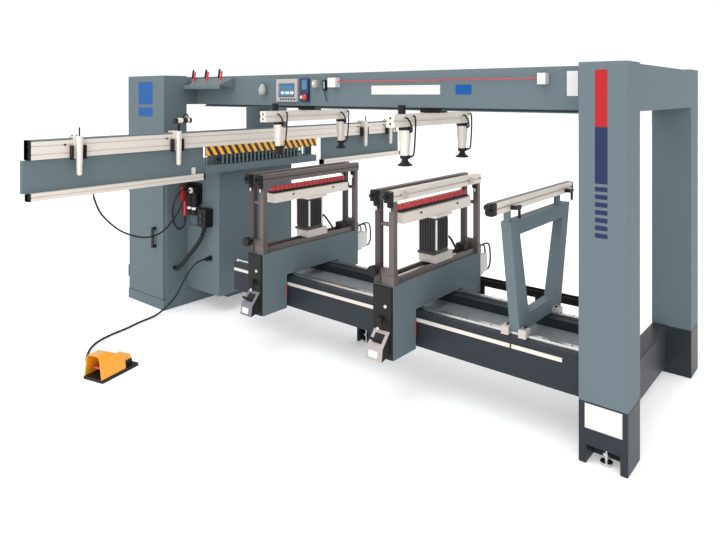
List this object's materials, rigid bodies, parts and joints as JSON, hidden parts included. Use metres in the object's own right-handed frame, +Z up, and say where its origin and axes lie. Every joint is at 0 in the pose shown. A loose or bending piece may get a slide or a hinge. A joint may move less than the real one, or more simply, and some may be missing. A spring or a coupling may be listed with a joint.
{
  "type": "line boring machine",
  "caption": "Multi-head woodworking line boring machine with a long cross fence, travelling vertical boring heads, overhead hold-downs and a foot pedal on a cable.",
  "frame": {"origin": "on the floor, under the middle of the machine's box", "axes": "+X along the bed towards the right portal, +Y towards the back, +Z up"},
  "size_m": [3.276, 2.996, 1.5644],
  "materials": {
    "blue_grey_paint": "satin",
    "charcoal_paint": "satin",
    "light_alloy": "satin",
    "bronze_alloy": "satin",
    "bright_steel": "brushed",
    "black_plastic": "matte",
    "motor_black": "matte",
    "red_chucks": "gloss",
    "stripe_yellow": "satin",
    "beige_plastic": "matte",
    "navy_plastic": "matte",
    "white_plastic": "matte",
    "red_plastic": "gloss",
    "orange_plastic": "gloss",
    "black_rubber": "matte"
  },
  "bodies": {
    "frame": {"left_tower": "blue_grey_paint", "left_portal": "blue_grey_paint", "overhead_beam": "blue_grey_paint", "right_portal": "blue_grey_paint", "right_base": "charcoal_paint", "head_cabinet": "blue_grey_paint", "bed_frame": "charcoal_paint", "bed_rails": "bright_steel", "chip_tray": "charcoal_paint", "levelling_feet": "bright_steel", "cable_duct": "black_plastic", "fence_profile": "light_alloy", "fence_skirts": "light_alloy", "hazard_guard": "stripe_yellow", "control_screen": "beige_plastic", "button_box": "navy_plastic", "pull_wire": "white_plastic", "signal_lamp": "white_plastic", "tool_rack": "blue_grey_paint", "air_unit": "black_plastic", "air_tubes": "black_rubber", "cable_gland": "black_plastic", "pedal_base": "black_plastic", "pedal_hood": "orange_plastic", "pedal_cord": "black_rubber"},
    "door": {"cabinet_door": "blue_grey_paint"},
    "side_head": {"side_gearbox": "light_alloy", "side_chucks": "red_chucks", "side_motor": "motor_black"},
    "support": {"support_frame": "blue_grey_paint", "support_bar": "light_alloy"},
    "estop": {"estop_button": "red_plastic"},
    "start": {"start_button": "white_plastic"},
    "treadle": {"pedal_treadle": "red_plastic"},
    "head_1": {"saddle_1": "blue_grey_paint", "posts_1": "bronze_alloy", "bars_1": "light_alloy", "lift_base_1": "beige_plastic", "controls_1": "charcoal_paint"},
    "unit_1": {"gearbox_1": "light_alloy", "chucks_1": "red_chucks", "motor_1": "motor_black"},
    "knob_1": {"clamp_knob_1": "black_plastic"},
    "arm_1": {"presser_arm_1": "light_alloy"},
    "pressers_1": {"presser_rods_1": "bright_steel"},
    "head_2": {"saddle_2": "blue_grey_paint", "posts_2": "bronze_alloy", "bars_2": "light_alloy", "lift_base_2": "beige_plastic", "controls_2": "charcoal_paint"},
    "unit_2": {"gearbox_2": "light_alloy", "chucks_2": "red_chucks", "motor_2": "motor_black"},
    "knob_2": {"clamp_knob_2": "black_plastic"},
    "arm_2": {"presser_arm_2": "light_alloy"},
    "pressers_2": {"presser_rods_2": "bright_steel"},
    "fence_stop_1": {"stop_1": "light_alloy"},
    "fence_stop_2": {"stop_2": "light_alloy"},
    "fence_stop_3": {"stop_3": "light_alloy"},
    "fence_stop_4": {"stop_4": "light_alloy"}
  },
  "joints": [
    {"name": "door_hinge", "type": "hinge", "parent": "frame", "child": "door", "pos_m": [-1.624, -0.454, 0.485], "axis": [0, 0, 1], "range_deg": [-110, 0]},
    {"name": "side_head_feed", "type": "slide", "parent": "frame", "child": "side_head", "axis": [1, 0, 0], "range_m": [0, 0.06]},
    {"name": "head_1_travel", "type": "slide", "parent": "frame", "child": "head_1", "axis": [1, 0, 0], "range_m": [-0.3, 0.35]},
    {"name": "head_2_travel", "type": "slide", "parent": "frame", "child": "head_2", "axis": [1, 0, 0], "range_m": [-0.3, 0.15]},
    {"name": "support_travel", "type": "slide", "parent": "frame", "child": "support", "axis": [1, 0, 0], "range_m": [-0.2, 0.2]},
    {"name": "unit_1_lift", "type": "slide", "parent": "head_1", "child": "unit_1", "axis": [0, 0, 1], "range_m": [0, 0.065]},
    {"name": "unit_2_lift", "type": "slide", "parent": "head_2", "child": "unit_2", "axis": [0, 0, 1], "range_m": [0, 0.065]},
    {"name": "knob_1_turn", "type": "hinge", "parent": "head_1", "child": "knob_1", "pos_m": [-0.261, -0.54, 0.611], "axis": [0, 1, 0], "continuous": true},
    {"name": "knob_2_turn", "type": "hinge", "parent": "head_2", "child": "knob_2", "pos_m": [0.6, -0.54, 0.611], "axis": [0, 1, 0], "continuous": true},
    {"name": "arm_1_travel", "type": "slide", "parent": "frame", "child": "arm_1", "axis": [1, 0, 0], "range_m": [-0.15, 0.35]},
    {"name": "arm_2_travel", "type": "slide", "parent": "frame", "child": "arm_2", "axis": [1, 0, 0], "range_m": [-0.35, 0.25]},
    {"name": "pressers_1_stroke", "type": "slide", "parent": "arm_1", "child": "pressers_1", "axis": [0, 0, 1], "range_m": [-0.085, 0]},
    {"name": "pressers_2_stroke", "type": "slide", "parent": "arm_2", "child": "pressers_2", "axis": [0, 0, 1], "range_m": [-0.085, 0]},
    {"name": "stop_1_travel", "type": "slide", "parent": "frame", "child": "fence_stop_1", "axis": [0, 1, 0], "range_m": [-0.2, 0.2]},
    {"name": "stop_2_travel", "type": "slide", "parent": "frame", "child": "fence_stop_2", "axis": [0, 1, 0], "range_m": [-0.2, 0.2]},
    {"name": "stop_3_travel", "type": "slide", "parent": "frame", "child": "fence_stop_3", "axis": [0, 1, 0], "range_m": [-0.3, 0.1]},
    {"name": "stop_4_travel", "type": "slide", "parent": "frame", "child": "fence_stop_4", "axis": [0, 1, 0], "range_m": [-0.1, 0.06]},
    {"name": "estop_push", "type": "slide", "parent": "frame", "child": "estop", "axis": [0, 1, 0], "range_m": [0, 0.005]},
    {"name": "start_push", "type": "slide", "parent": "frame", "child": "start", "axis": [0, 1, 0], "range_m": [0, 0.004], "stiffness_N_per_m": 300, "springref_m": -0.004},
    {"name": "treadle_press", "type": "hinge", "parent": "frame", "child": "treadle", "pos_m": [-0.63704, -1.10859, 0.046], "axis": [0.9703, 0.2419, 0], "range_deg": [0, 12], "stiffness_Nm_per_rad": 3, "springref_deg": -17.19}
  ]
}
